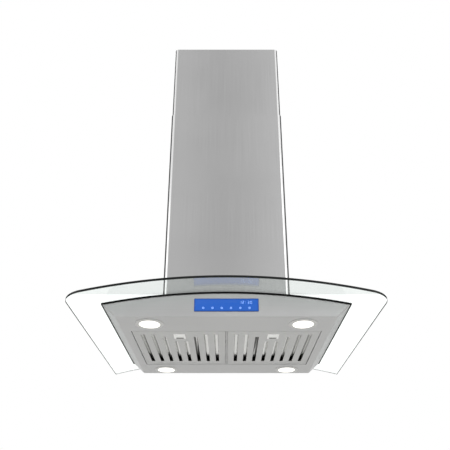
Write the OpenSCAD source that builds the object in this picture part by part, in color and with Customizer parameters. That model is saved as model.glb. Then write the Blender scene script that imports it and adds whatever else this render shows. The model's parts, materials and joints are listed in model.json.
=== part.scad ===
// Island range hood: curved glass canopy on a telescopic chimney, hung from the ceiling.
// Frame: origin on the top face of the ceiling plate, +Z up, front towards -Y. Millimetres.

/* [Glass canopy] */
// Width of the glass
glass_w = 750; // [640:10:900]
// Depth of the glass, front to back
glass_d = 650; // [560:10:780]
// Thickness of the glass
glass_t = 6; // [5:1:8]
// Rise of the glass from its ends to its crown
glass_rise = 47; // [35:1:60]
// Radius of the two front corners
glass_corner = 40; // [10:1:60]
// Distance from the ceiling down to the crown of the glass
crown_drop = 905; // [850:5:1150]
// Thickness of the rubber seal under the glass
seal_t = 4; // [3:0.5:5]

/* [Hood body] */
// Width of the body where it meets the seal
body_top_w = 600; // [580:10:620]
// Width of the flat underside
body_bottom_w = 532; // [516:4:560]
// Depth of the body
body_d = 490; // [460:10:580]
// Height of the body below the crown of the glass
body_h = 72; // [66:1:90]
// Thickness of the body sheet
sheet_t = 1.2; // [0.8:0.1:1.6]

/* [Chimney] */
// Width of the lower chimney cover
cover_w = 336; // [316:4:380]
// Depth of the lower chimney cover
cover_d = 312; // [296:4:350]
// Thickness of the cover sheet
cover_t = 1; // [0.8:0.1:1.5]
// Outside bend radius of the lower cover
cover_r = 12; // [8:0.5:16]
// Length of the upper cover that shows at rest
reveal = 273; // [240:5:330]
// Length of the upper cover hidden inside the lower cover
cover_overlap = 285; // [240:5:330]
// Gap between the two covers
slide_gap = 0.8; // [0.5:0.1:1.2]
// How far the hood can be set lower
travel_down = 200; // [100:10:220]
// How far the hood can be set higher
travel_up = 120; // [60:10:140]

/* [Support frame] */
// Leg width of the frame angles
angle_w = 25; // [20:1:30]
// Thickness of the frame angles
angle_t = 2; // [1.5:0.5:3]
// Radius of the height bolts
height_bolt_r = 3; // [2.5:0.5:4]

/* [Motor box and blower] */
// Height of the motor box above the crown
box_h = 295; // [280:5:320]
// Radius of the impeller
impeller_r = 80; // [66:1:82]
// Width of the blower scroll
scroll_w = 124; // [110:2:130]
// Radius of the duct collar
collar_r = 75; // [60:1:76]
// Height of the duct collar
collar_h = 60; // [55:1:80]
// Radius of a charcoal filter
charcoal_r = 86; // [74:1:88]
// Thickness of a charcoal filter
charcoal_t = 24; // [18:1:28]

/* [Grease filters] */
// Width of one filter
filter_w = 240; // [230:2:244]
// Depth of one filter
filter_d = 292; // [270:2:300]
// Height of one filter
filter_h = 20; // [16:1:24]
// Number of slots in one filter
slot_count = 8; // [6:1:9]
// Distance between slots
slot_pitch = 27.4; // [24:0.2:27.4]
// Width of a slot
slot_w = 10; // [7:0.5:12]
// Gap around each filter
filter_gap = 1; // [0.8:0.1:1.5]

/* [Lights] */
// Distance of the lights from the centre line
light_x = 190; // [180:1:195]
// Distance of the front lights in front of the centre
light_front_y = 198; // [194:1:204]
// Distance of the rear lights behind the centre
light_rear_y = 203; // [194:1:204]
// Outer radius of a light bezel
bezel_r = 35.5; // [32:0.5:37]
// Radius of a light lens
lens_r = 26; // [22:0.5:28]

/* [Control panel] */
// Width of the touch panel
panel_w = 156; // [130:2:170]
// Height of the touch panel
panel_h = 33.5; // [28:0.5:36]

/* [Hidden] */

steel = [0.72, 0.72, 0.71];
dark_steel = [0.5, 0.51, 0.52];
zinc = [0.62, 0.64, 0.66];
black = [0.06, 0.06, 0.06];
fine = 64;
arc_fine = 720;
past = 1;              // how far a cut runs past the face that it opens

// Curved surfaces of the canopy: all are cylinders along Y about one axis.
crown_z = -crown_drop;
glass_r = (pow(glass_w / 2, 2) + pow(glass_rise, 2)) / (2 * glass_rise);
arc_axis_z = crown_z - glass_r;
under_r = glass_r - glass_t;
body_r = under_r - seal_t;
function arc_z(r, x) = arc_axis_z + sqrt(r * r - x * x);

bottom_z = crown_z - body_h;
body_end_z = arc_z(body_r, body_top_w / 2);
end_run = (body_top_w - body_bottom_w) / 2;
end_slope = end_run / (body_end_z - bottom_z);
end_wall = sheet_t * sqrt(1 + end_slope * end_slope);

// Nested sleeves of the chimney, from the outside in: [width, depth] of each outer face.
frame_gap = 6.2;       // upper cover to lower frame, room for the bolt heads
post_gap = 0.5;        // lower frame to upper frame
box_gap = 1.5;         // upper frame to motor box
function shrink(s, by) = [s[0] - 2 * by, s[1] - 2 * by];
lower_size = [cover_w, cover_d];
upper_size = shrink(lower_size, cover_t + slide_gap);
upper_room = shrink(upper_size, cover_t);
lower_post_size = shrink(upper_room, frame_gap);
upper_post_size = shrink(lower_post_size, angle_t + post_gap);
box_size = shrink(upper_post_size, angle_t + box_gap);
flange_size = shrink(lower_size, cover_t + 4);

ceiling_gap = 0.5;
plate_t = 2;
plate_size = shrink(upper_room, 0.2);
plate_lip = 18;
duct_hole_r = collar_r + 10;
ceiling_hole = [220, 196];
ceiling_hole_r = 4;
head_h = 4;
screw_r = 2.5;
frame_hole_r = 3.2;
frame_bolt_in = [14, 40];      // from the corners of the upper frame
cover_screw_y = 90;
cover_screw_z = -10;
foot_bolt_r = 3;

upper_cover_end = crown_z + (crown_drop - reveal) - cover_overlap;
lower_post_top = -reveal - 107;
bolt_z = lower_post_top - 20;
upper_post_end = bolt_z - travel_down - 40;
slot_extra = 1;
rail_h = 22;

// Motor box.
box_wall = 1.2;
box_top = crown_z + box_h;
seal_lip = 2;
seal_out = 3;                  // how far the body's seal stands out past the body
flange_r = glass_r + seal_lip;
flange_t = 1.5;
opening = [284, 260];          // cut-out in the glass
seal_web = 2;
room = [opening[0] - 2 * seal_web, opening[1] - 2 * seal_web];
clamp_x = [-100, 0, 100];
clamp_y = (box_size[1] + flange_size[1]) / 4;
clamp_hole_r = 2.6;
foot_z = crown_z + 45;

// Blower.
wall = 2;
impeller_y = -30;
impeller_z = crown_z + 143;
impeller_half = scroll_w / 2 - wall - 3;
scroll_r0 = impeller_r + 8;
scroll_grow = 30;              // added over three quarters of a turn
outlet_half = 70;
scroll_top = box_top - box_wall;
inlet_r = impeller_r - 14;
inlet_t = 8;
hub_r = 12;
hub_len = charcoal_t - 2;
running = 0.06;
shaft_r = 4;
motor_r = 40;
motor_len = 44;
blade_count = 32;
inlet_face = scroll_w / 2 + inlet_t;

// Damper.
collar_t = 1.2;
collar_flange = 18;
damper_z = box_top + 16;
pin_r = 1.5;
flap_r = collar_r - collar_t - 1.8;
flap_t = 1;
flap_start = 3.8;
knuckle_r = 3;

// Grease filters and latches. Each filter turns on trunnions at its lower rear edge.
bar_t = 3;
filter_x = bar_t / 2 + filter_gap + filter_w / 2;
filter_opening = [2 * (filter_x + filter_w / 2 + filter_gap), filter_d + 3];
lip_up = 12;
face_t = 1;
hinge_in = 3;
hinge_y = filter_d / 2 - hinge_in;
hinge_z = bottom_z + hinge_in;
trunnion_r = 2;
slot_front = -filter_d / 2 + 24;
slot_back = filter_d / 2 - 34;
latch_w = 30;
latch_len = 37;
latch_front = -filter_d / 2 + 20.5;
finger_w = 20;
finger_l = 8.5;
finger_y = latch_front + latch_len - finger_l - 2;
latch_slide_w = 24;
catch_z = face_t + 1.1;        // underside of the sliding catch above the filter's face
latch_slide_end = finger_y + finger_l + 3;
spring_d = 4;
channel_z = 12;                // top of the inner channels above the filter's face
channel_w = 8;
channel_foot = 17;
channel_t = 0.8;
channel_h = 7;

light_spots = [
    ["front_left", [-light_x, -light_front_y]], ["front_right", [light_x, -light_front_y]],
    ["rear_left", [-light_x, light_rear_y]], ["rear_right", [light_x, light_rear_y]],
];
lamp_r = 29;
lamp_hole_r = bezel_r - 4.5;
lamp_h = 22;

panel_z = crown_z - 41;
panel_t = 1.5;
module_t = 6;
housing_t = 20;
inner_front = -body_d / 2 + sheet_t;

// Electrics.
power_size = [46, 120, 42];
power_x = box_size[0] / 2 - box_wall - 4 - power_size[0] / 2;
power_y = -50;
power_z = box_top - box_wall - power_size[2];
driver_size = [90, 36, 20];
driver_y = filter_opening[1] / 2 + 12 + driver_size[1] / 2;
gland_r = 8;
gland_x = collar_r + collar_flange + gland_r + 11;
gland_y = power_y + power_size[1] / 2 + 30;
cable_r = 6;
cable_hole_r = 10;             // in the ceiling plate, above the gland
wire_r = 2.5;

// ---------- shared shapes ----------

module rounded(size, r) {
    square([size[0] - 2 * r, size[1]], center = true);
    square([size[0], size[1] - 2 * r], center = true);
    for (sx = [-1, 1], sy = [-1, 1])
        translate([sx * (size[0] / 2 - r), sy * (size[1] / 2 - r)]) circle(r = r, $fn = fine);
}

// Everything under a canopy surface of radius r
module below_arc(r) {
    translate([0, 0, arc_axis_z]) rotate([90, 0, 0])
        cylinder(h = glass_d + 200, r = r, center = true, $fn = arc_fine);
}

// The layer between two canopy surfaces
module arc_layer(r_in, r_out) {
    difference() {
        below_arc(r_out);
        below_arc(r_in);
    }
}

// A straight prism of an outline, tall enough to cross every canopy surface
module tall(extra = 0) {
    translate([0, 0, bottom_z - 20]) linear_extrude(body_h + 60 + extra) children();
}

module sleeve(size, r, t, z_low, z_high) {
    translate([0, 0, z_low]) linear_extrude(z_high - z_low) difference() {
        rounded(size, r);
        rounded(shrink(size, t), max(r - t, 0.4));
    }
}

module at_corners(x, y) {
    for (sx = [-1, 1], sy = [-1, 1]) translate([sx * x, sy * y, 0]) children();
}

// Hex head at z = 0 upwards, plain shank downwards
module hex_bolt(len, r = 3) {
    cylinder(h = head_h, r = 1.9 * r, $fn = 6);
    translate([0, 0, -len]) cylinder(h = len, r = r, $fn = 32);
}

module pan_screw(len, r = screw_r) {
    difference() {
        cylinder(h = 2.2, r = 1.8 * r, $fn = 40);
        translate([0, 0, 1.2]) cube([3 * r, 0.8, 4], center = true);
        translate([0, 0, 1.2]) cube([0.8, 3 * r, 4], center = true);
    }
    translate([0, 0, -len]) cylinder(h = len, r = r, $fn = 32);
}

// One L-shaped post in the (+X, +Y) corner of an envelope
module post(size, z_low, z_high) {
    translate([size[0] / 2 - angle_w, size[1] / 2 - angle_t, z_low])
        cube([angle_w, angle_t, z_high - z_low]);
    translate([size[0] / 2 - angle_t, size[1] / 2 - angle_w, z_low])
        cube([angle_t, angle_w, z_high - z_low]);
}

module posts(size, z_low, z_high) {
    for (mx = [0, 1], my = [0, 1]) mirror([mx, 0, 0]) mirror([0, my, 0]) post(size, z_low, z_high);
}

// A square ring of flat bar in the plane of the posts
module rail_ring(size, z_low, h) {
    translate([0, 0, z_low]) linear_extrude(h) difference() {
        square(size, center = true);
        square(shrink(size, angle_t), center = true);
    }
}

// Places a child on the outer side face of each post, its Z axis pointing outwards
module on_posts(size, z) {
    for (sx = [-1, 1], sy = [-1, 1])
        translate([sx * size[0] / 2, sy * (size[1] - angle_w) / 2, z]) rotate([0, sx * 90, 0]) children();
}

// Round bar swept through a list of points; no stretch may run along the guide direction
function unit(v) = v / norm(v);
function ring(path, i, r, sides, guide) = let (
    last = len(path) - 1,
    along = unit(path[min(i + 1, last)] - path[max(i - 1, 0)]),
    across = unit(cross(along, guide)),
    over = cross(along, across)
) [for (k = [0:sides - 1]) path[i] + r * (cos(360 * k / sides) * across + sin(360 * k / sides) * over)];

module sweep(path, r, sides, guide) {
    count = len(path);
    polyhedron(
        points = [for (i = [0:count - 1]) for (p = ring(path, i, r, sides, guide)) p],
        faces = concat(
            [[for (k = [0:sides - 1]) k]],
            [for (i = [0:count - 2], k = [0:sides - 1])
                let (near = i * sides, far = near + sides, next = (k + 1) % sides)
                each [[near + k, far + k, far + next], [near + k, far + next, near + next]]],
            [[for (k = [sides - 1:-1:0]) (count - 1) * sides + k]]
        )
    );
}

// A lead with its corners cut by short chords
module lead(points) {
    cut = 8;
    last = len(points) - 1;
    path = [for (i = [0:last]) each i == 0 || i == last ? [points[i]] : [
        points[i] + cut * unit(points[i - 1] - points[i]), points[i] + cut * unit(points[i + 1] - points[i]),
    ]];
    sweep(path, wire_r, 10, [1, 1, 1]);
}

// ---------- ceiling side ----------

module ceiling_plate() {
    color(zinc) difference() {
        translate([0, 0, -plate_t]) linear_extrude(plate_t) rounded(plate_size, cover_r - cover_t);
        translate([0, 0, -plate_t - past]) cylinder(h = plate_t + 2 * past, r = duct_hole_r, $fn = 120);
        at_corners(ceiling_hole[0] / 2, ceiling_hole[1] / 2)
            translate([0, 0, -plate_t - past])
                cylinder(h = plate_t + 2 * past, r = ceiling_hole_r, $fn = fine);
        translate([gland_x, gland_y, -plate_t - past])
            cylinder(h = plate_t + 2 * past, r = cable_hole_r, $fn = fine);
        on_frame_top() cylinder(h = 4 * plate_t, r = frame_hole_r, center = true, $fn = fine);
    }
    color(zinc) difference() {
        sleeve(plate_size, cover_r - cover_t, plate_t, -plate_lip, -plate_t);
        at_cover_screws() cylinder(h = 12, r = screw_r, center = true, $fn = fine);
    }
}

module on_frame_top() {
    at_corners(upper_post_size[0] / 2 - frame_bolt_in[0], upper_post_size[1] / 2 - frame_bolt_in[1])
        children();
}

module at_cover_screws() {
    for (sx = [-1, 1], sy = [-1, 1])
        translate([sx * upper_size[0] / 2, sy * cover_screw_y, cover_screw_z])
            rotate([0, sx * 90, 0]) children();
}

module upper_frame() {
    color(zinc) difference() {
        union() {
            posts(upper_post_size, upper_post_end, -plate_t);
            rail_ring(upper_post_size, upper_post_end, rail_h);
            rail_ring(upper_post_size, -plate_t - rail_h, rail_h);
            translate([0, 0, -plate_t - angle_t]) linear_extrude(angle_t) difference() {
                square(upper_post_size, center = true);
                square(shrink(upper_post_size, angle_w), center = true);
            }
        }
        on_frame_top() cylinder(h = 6 * plate_t, r = frame_hole_r, center = true, $fn = fine);
        post_slots();
    }
}

// Slots in the side legs of the upper posts, in line with the height bolts in the lower ones
module post_slots() {
    for (sx = [-1, 1], sy = [-1, 1])
        translate([sx * upper_post_size[0] / 2, sy * (lower_post_size[1] - angle_w) / 2, 0])
            rotate([90, 0, 90]) slot_cut();
}

module slot_cut() {
    r = height_bolt_r + 0.5;
    low = bolt_z - travel_down - slot_extra;
    high = bolt_z + travel_up + slot_extra;
    linear_extrude(5 * angle_t, center = true) {
        translate([-r, low]) square([2 * r, high - low]);
        for (z = [low, high]) translate([0, z]) circle(r = r, $fn = fine);
    }
}

module frame_bolts() {
    color(dark_steel) on_frame_top() {
        translate([0, 0, -plate_t - angle_t]) mirror([0, 0, 1]) hex_bolt(plate_t + angle_t - 0.2);
    }
}

module upper_chimney() {
    color(steel) difference() {
        sleeve(upper_size, cover_r - cover_t - slide_gap, cover_t, upper_cover_end, -ceiling_gap);
        at_cover_screws() cylinder(h = 12, r = screw_r, center = true, $fn = fine);
    }
}

module chimney_screws() {
    color(dark_steel) at_cover_screws() pan_screw(7);
}

// ---------- chimney and frame that hang with the hood ----------

module lower_chimney() {
    color(steel) difference() {
        sleeve(lower_size, cover_r, cover_t, crown_z - 40, -reveal);
        below_arc(glass_r + slide_gap);
    }
}

module lower_frame() {
    color(zinc) difference() {
        union() {
            posts(lower_post_size, crown_z - 20, lower_post_top);
            rail_ring(lower_post_size, lower_post_top - rail_h, rail_h);
            rail_ring(lower_post_size, foot_z + 20, rail_h);
        }
        below_arc(flange_r + flange_t);
        on_posts(lower_post_size, bolt_z) cylinder(h = 20, r = height_bolt_r, center = true, $fn = fine);
        on_posts(lower_post_size, foot_z) cylinder(h = 20, r = foot_bolt_r, center = true, $fn = fine);
    }
}

// Bolts hold the two frames together through the slots of the upper posts
module height_bolts() {
    inside = 2 * angle_t + 2 * post_gap;
    color(dark_steel) on_posts(lower_post_size, bolt_z) {
        hex_bolt(inside, height_bolt_r);
        translate([0, 0, -inside - 1.5 * height_bolt_r])
            cylinder(h = 1.5 * height_bolt_r, r = 1.9 * height_bolt_r, $fn = 6);
    }
}

// Bolts and spacers hold the lower posts to the motor box
module foot_bolts() {
    gap = (lower_post_size[0] - box_size[0]) / 2 - angle_t;
    color(dark_steel) on_posts(lower_post_size, foot_z) {
        hex_bolt(angle_t, foot_bolt_r);
        difference() {
            translate([0, 0, -angle_t - gap]) cylinder(h = gap, r = 2 * foot_bolt_r, $fn = 40);
            cylinder(h = 40, r = foot_bolt_r, center = true, $fn = fine);
        }
        translate([0, 0, -angle_t - gap - box_wall - 2.5])
            cylinder(h = gap + box_wall + 2.5, r = foot_bolt_r, $fn = 32);
    }
}

module motor_box() {
    color(zinc) difference() {
        union() {
            difference() {
                sleeve(box_size, 3, box_wall, crown_z - 30, box_top);
                below_arc(flange_r);
            }
            translate([0, 0, box_top - box_wall]) linear_extrude(box_wall) rounded(box_size, 3);
            intersection() {
                arc_layer(flange_r, flange_r + flange_t);
                tall() difference() {
                    rounded(flange_size, 6);
                    rounded(shrink(box_size, box_wall), 1.8);
                }
            }
        }
        translate([0, 0, box_top - 3]) cylinder(h = 6, r = collar_r - collar_t, $fn = 120);
        translate([gland_x, gland_y, box_top - 3]) cylinder(h = 6, r = gland_r, $fn = fine);
        on_posts(lower_post_size, foot_z) cylinder(h = 40, r = foot_bolt_r, center = true, $fn = fine);
        at_clamps() cylinder(h = 60, r = clamp_hole_r, center = true, $fn = fine);
    }
}

module at_clamps() {
    for (x = clamp_x, sy = [-1, 1])
        translate([x, sy * clamp_y, arc_z(flange_r + flange_t, max(abs(x) - 1.8 * screw_r, 0))]) children();
}

module clamp_screws() {
    color(dark_steel) at_clamps() pan_screw(flange_t + seal_lip + glass_t + seal_t + 5, screw_r);
}

// ---------- glass and seals ----------

module glass_outline() {
    r = glass_corner;
    translate([-glass_w / 2, -glass_d / 2 + r]) square([glass_w, glass_d - r]);
    translate([-glass_w / 2 + r, -glass_d / 2]) square([glass_w - 2 * r, glass_d]);
    for (sx = [-1, 1]) translate([sx * (glass_w / 2 - r), -glass_d / 2 + r]) circle(r = r, $fn = 120);
}

module glass_canopy() {
    color([0.85, 0.93, 0.92, 0.35]) difference() {
        intersection() {
            arc_layer(under_r, glass_r);
            tall() difference() {
                glass_outline();
                rounded(opening, 12);
            }
        }
        at_clamps() cylinder(h = 60, r = clamp_hole_r + 1, center = true, $fn = fine);
    }
}

// Rubber channel over the edge of the cut-out; its lips lie above and below the glass
module edge_seal() {
    color(black) difference() {
        intersection() {
            arc_layer(body_r, flange_r);
            tall() difference() {
                rounded(flange_size, 6);
                rounded(room, 10);
            }
        }
        difference() {
            arc_layer(under_r, glass_r);
            tall() rounded(opening, 12);
        }
        at_clamps() cylinder(h = 60, r = clamp_hole_r, center = true, $fn = fine);
    }
}

module body_seal() {
    color(black) intersection() {
        arc_layer(body_r, under_r);
        tall() difference() {
            square([body_top_w + 2 * seal_out, body_d + 2 * seal_out], center = true);
            square([body_top_w - 18, body_d - 18], center = true);
        }
    }
}

// ---------- body ----------

// Cross-section of the body, its ends drawn in by a wall and its floor raised by one
module body_section(in_x, up) {
    high = body_h + 40;
    half = body_bottom_w / 2 - in_x;
    low_run = end_slope * up;
    polygon([
        [-half - low_run, bottom_z + up], [half + low_run, bottom_z + up],
        [half + end_slope * high, bottom_z + high], [-half - end_slope * high, bottom_z + high],
    ]);
}

module body_form(in_x, in_y, up, r) {
    intersection() {
        rotate([90, 0, 0]) linear_extrude(body_d - 2 * in_y, center = true) body_section(in_x, up);
        below_arc(r);
    }
}

module hood_shell() {
    color(steel) difference() {
        union() {
            difference() {
                body_form(0, 0, 0, body_r);
                body_form(end_wall, sheet_t, sheet_t, body_r + 10);
            }
            translate([0, 0, bottom_z]) linear_extrude(lip_up)
                square([filter_opening[0] + 2 * sheet_t, filter_opening[1] + 2 * sheet_t], center = true);
        }
        translate([0, 0, bottom_z - past])
            linear_extrude(lip_up + 2 * past) square(filter_opening, center = true);
        for (spot = light_spots) translate([spot[1][0], spot[1][1], bottom_z - past])
            cylinder(h = sheet_t + 2 * past, r = lamp_hole_r, $fn = 96);
        translate([0, -body_d / 2, panel_z]) cube([panel_w - 4, 4 * sheet_t, panel_h - 4], center = true);
        trunnion_bores(filter_opening[0] + 4 * sheet_t);
    }
}

// Curved sheet that closes the body under the glass
module top_plate() {
    color(steel) difference() {
        intersection() {
            arc_layer(body_r - sheet_t, body_r);
            body_form(end_wall, sheet_t, sheet_t, body_r + 10);
        }
        tall() rounded(room, 10);
        at_clamps() cylinder(h = 60, r = clamp_hole_r, center = true, $fn = fine);
    }
}

// Bar between the two filters, front to back
module centre_bar() {
    color(steel) difference() {
        translate([-bar_t / 2, -filter_opening[1] / 2, bottom_z]) cube([bar_t, filter_opening[1], lip_up]);
        trunnion_bores(4 * bar_t);
    }
}

module trunnion_bores(len) {
    translate([0, hinge_y, hinge_z]) rotate([0, 90, 0])
        cylinder(h = len, r = trunnion_r + running, center = true, $fn = fine);
}

// ---------- control panel ----------

module control_lens() {
    color([0.08, 0.3, 0.75]) translate([0, -body_d / 2, panel_z]) rotate([90, 0, 0]) {
        linear_extrude(panel_t) rounded([panel_w, panel_h], 1.5);
        translate([0, 0, -sheet_t]) linear_extrude(sheet_t) square([panel_w - 4, panel_h - 4], center = true);
    }
}

module display_module() {
    color([0.1, 0.35, 0.2]) translate([0, inner_front + module_t / 2, panel_z])
        cube([panel_w - 10, module_t, panel_h - 6], center = true);
}

module control_housing() {
    size = [panel_w + 8, housing_t, panel_h + 4];
    color(black) translate([0, inner_front + housing_t / 2, panel_z]) difference() {
        cube(size, center = true);
        translate([0, -housing_t / 2, 0]) cube([size[0] - 4, 2 * housing_t - 4, size[2] - 4], center = true);
    }
}

// ---------- lights ----------

module light_bezel(place) {
    color(steel) translate([place[0], place[1], bottom_z]) rotate_extrude($fn = 120) polygon([
        [lens_r, -1.5], [bezel_r - 2, -1.5], [bezel_r, -0.6], [bezel_r, 0],
        [lamp_hole_r - 0.4, 0], [lamp_hole_r - 0.4, 4], [lens_r, 4],
    ]);
}

module light_lens(place) {
    color([1, 0.99, 0.95]) translate([place[0], place[1], bottom_z - 0.9])
        cylinder(h = 3, r = lens_r, $fn = 120);
}

module light_lamp(place) {
    fins = 9;
    color(zinc) translate([place[0], place[1], bottom_z + 4]) {
        cylinder(h = 6, r = lamp_r, $fn = 96);
        translate([0, 0, 6]) cylinder(h = lamp_h - 6, r = lamp_r - 10, $fn = fine);
        for (i = [0:fins - 1]) rotate([0, 0, 360 * i / fins])
            translate([lamp_r - 11, -0.8, 6]) cube([9, 1.6, lamp_h - 8]);
    }
}

module led_driver() {
    color([0.9, 0.9, 0.88]) translate([0, driver_y, bottom_z + sheet_t]) {
        translate([-driver_size[0] / 2, -driver_size[1] / 2, 0]) cube(driver_size);
        for (sx = [-1, 1]) difference() {
            translate([sx * (driver_size[0] / 2 + 6), 0, 1]) cube([12, 14, 2], center = true);
            translate([sx * (driver_size[0] / 2 + 6), 0, -past]) cylinder(h = 6, r = 2, $fn = 32);
        }
    }
}

// Leads from the panel and the lights to the power box and driver
module wiring_harness() {
    side_x = filter_opening[0] / 2 + 18;
    low = bottom_z + 10;
    up_x = room[0] / 2 - 18;
    up_y = -room[1] / 2 + 18;
    color([0.85, 0.85, 0.85]) {
        lead([
            [70, inner_front + housing_t, panel_z], [70, inner_front + housing_t + 20, crown_z - 32],
            [up_x, up_y, crown_z - 24], [up_x, up_y, power_z],
        ]);
        for (sx = [-1, 1]) {
            lead([
                [sx * (light_x + lamp_r), -light_front_y, low], [sx * side_x, -light_front_y + 30, low],
                [sx * side_x, light_rear_y - 30, low], [sx * (light_x + lamp_r), light_rear_y, low],
            ]);
            lead([
                [sx * (light_x - lamp_r), light_rear_y, low], [sx * (driver_size[0] / 2), driver_y + 8, low],
            ]);
        }
        wire_z = power_z + 20;
        wire_y = box_size[1] / 2 - 14;
        lead([
            [power_x, power_y + power_size[1] / 2, wire_z], [power_x, wire_y, wire_z],
            [-power_x, wire_y, wire_z], [-power_x, 40, wire_z], [-scroll_w / 2, 40, wire_z],
        ]);
    }
}

// ---------- blower ----------

// Scroll radius at an angle that runs backwards over the top, down the front and under
function scroll_r(a) = scroll_r0 + scroll_grow * (a - 90) / 270;
function scroll_points(out) = [
    for (a = [90:9:360]) let (r = scroll_r(a) + out) [impeller_y + r * cos(a), impeller_z + r * sin(a)],
    [outlet_half + out, scroll_top - 20], [outlet_half + out, scroll_top], [-outlet_half - out, scroll_top],
    [-outlet_half - out, scroll_top - 20],
];

// The scroll outline stands in the YZ plane; side 1 is the right half, -1 the left
module scroll_half(side) {
    half = scroll_w / 2;
    color([0.35, 0.36, 0.38]) mirror([side < 0 ? 1 : 0, 0, 0]) {
        rotate([90, 0, 90]) linear_extrude(half - wall) difference() {
            polygon(scroll_points(0));
            polygon(scroll_points(-wall));
        }
        difference() {
            translate([half - wall, 0, 0]) rotate([90, 0, 90]) linear_extrude(wall) polygon(scroll_points(0));
            translate([half - 2 * wall, impeller_y, impeller_z]) rotate([0, 90, 0])
                cylinder(h = 4 * wall, r = inlet_r + 3, $fn = 96);
        }
        difference() {
            translate([0, -outlet_half - 10, scroll_top - wall])
                cube([half + 18, 2 * outlet_half + 20, wall]);
            translate([-past, -outlet_half, scroll_top - wall - past])
                cube([half + past, 2 * outlet_half, wall + 2 * past]);
        }
    }
}

// Bell mouth with a three-arm spider whose boss carries a charcoal filter
module inlet_ring(side) {
    place = [side * scroll_w / 2, impeller_y, impeller_z];
    color([0.3, 0.31, 0.33]) translate(place) rotate([0, side * 90, 0]) {
        rotate_extrude($fn = 96) polygon([
            [inlet_r, 0], [inlet_r + 14, 0], [inlet_r + 14, 2], [inlet_r + 9, 3],
            [inlet_r + 7, inlet_t], [inlet_r + 4, inlet_t], [inlet_r, 4],
        ]);
        for (a = [30, 150, 270]) rotate([0, 0, a])
            translate([hub_r, -6, 0]) cube([inlet_r - hub_r + 2, 12, 3]);
        cylinder(h = inlet_t, r = hub_r + 8, $fn = fine);
        cylinder(h = inlet_t + hub_len, r = hub_r, $fn = fine);
    }
}

module motor() {
    place = [-scroll_w / 2, impeller_y, impeller_z];
    color([0.25, 0.26, 0.28]) translate(place) rotate([0, 90, 0]) difference() {
        union() {
            cylinder(h = motor_len, r = motor_r, $fn = 96);
            translate([0, 0, motor_len]) cylinder(h = 4, r = 14, $fn = fine);
        }
        translate([0, 0, 4]) cylinder(h = motor_len + 4, r = shaft_r + running, $fn = fine);
        for (i = [0:11]) rotate([0, 0, 30 * i]) translate([motor_r - 3, -2, 8]) cube([6, 4, motor_len - 16]);
    }
}

module motor_shaft() {
    color([0.8, 0.8, 0.8]) translate([-scroll_w / 2 + 6, impeller_y, impeller_z]) rotate([0, 90, 0])
        cylinder(h = scroll_w / 2 + 10, r = shaft_r, $fn = fine);
}

module impeller() {
    blade_in = impeller_r - 14;
    color([0.2, 0.2, 0.22]) translate([0, impeller_y, impeller_z]) rotate([0, 90, 0]) difference() {
        union() {
            translate([0, 0, -1]) cylinder(h = 2, r = impeller_r, $fn = 96);
            translate([0, 0, -8]) cylinder(h = 20, r = 10, $fn = fine);
            for (z = [-impeller_half, impeller_half - 4]) translate([0, 0, z]) difference() {
                cylinder(h = 4, r = impeller_r, $fn = 96);
                translate([0, 0, -past]) cylinder(h = 4 + 2 * past, r = blade_in, $fn = 96);
            }
            for (i = [0:blade_count - 1]) rotate([0, 0, 360 * i / blade_count])
                translate([blade_in + 6.5, 0, 0]) rotate([0, 0, 35])
                    cube([13, 1, 2 * impeller_half - 2], center = true);
        }
        translate([0, 0, -20]) cylinder(h = 40, r = shaft_r, $fn = fine);
    }
}

module capacitor() {
    color([0.92, 0.92, 0.9]) translate([-power_x, -70, box_top - box_wall - 17]) rotate([-90, 0, 0]) {
        cylinder(h = 58, r = 15, $fn = fine);
        translate([0, 0, 58]) cylinder(h = 3, r = 11, $fn = fine);
        translate([-17, -17, 22]) difference() {
            cube([34, 17, 12]);
            translate([17, 17, -past]) cylinder(h = 14, r = 15, $fn = fine);
        }
    }
}

module power_box() {
    color([0.12, 0.12, 0.13]) translate([power_x, power_y, power_z]) {
        lid_t = 3;
        translate([-power_size[0] / 2, -power_size[1] / 2, lid_t])
            cube([power_size[0], power_size[1], power_size[2] - lid_t]);
        linear_extrude(lid_t) rounded(power_size, 4);
    }
}

module cable_gland() {
    color(black) translate([gland_x, gland_y, box_top]) difference() {
        union() {
            translate([0, 0, -8]) cylinder(h = 8, r = gland_r, $fn = fine);
            cylinder(h = 5, r = gland_r + 5, $fn = 6);
            translate([0, 0, 5]) cylinder(h = 11, r = gland_r + 1, $fn = fine);
        }
        translate([0, 0, -8 - past]) cylinder(h = 40, r = cable_r, $fn = fine);
    }
}

// ---------- outlet collar and back-draft damper ----------

module outlet_collar() {
    color(zinc) translate([0, 0, box_top]) difference() {
        union() {
            difference() {
                union() {
                    cylinder(h = collar_t, r = collar_r + collar_flange, $fn = 120);
                    cylinder(h = collar_h, r = collar_r, $fn = 120);
                }
                translate([0, 0, -past])
                    cylinder(h = collar_h + 2 * past, r = collar_r - collar_t, $fn = 120);
            }
            translate([0, 0, damper_z - box_top - 2.2]) difference() {
                cylinder(h = 1, r = collar_r - collar_t / 2, $fn = 120);
                translate([0, 0, -past]) cylinder(h = 1 + 2 * past, r = collar_r - collar_t - 3, $fn = 120);
            }
        }
        translate([0, 0, damper_z - box_top]) rotate([90, 0, 0])
            cylinder(h = 2 * collar_r + 4, r = pin_r, center = true, $fn = 40);
    }
}

module damper_pin() {
    color(dark_steel) translate([0, 0, damper_z]) rotate([90, 0, 0])
        cylinder(h = 2 * collar_r - 0.6, r = pin_r, center = true, $fn = 40);
}

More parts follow.
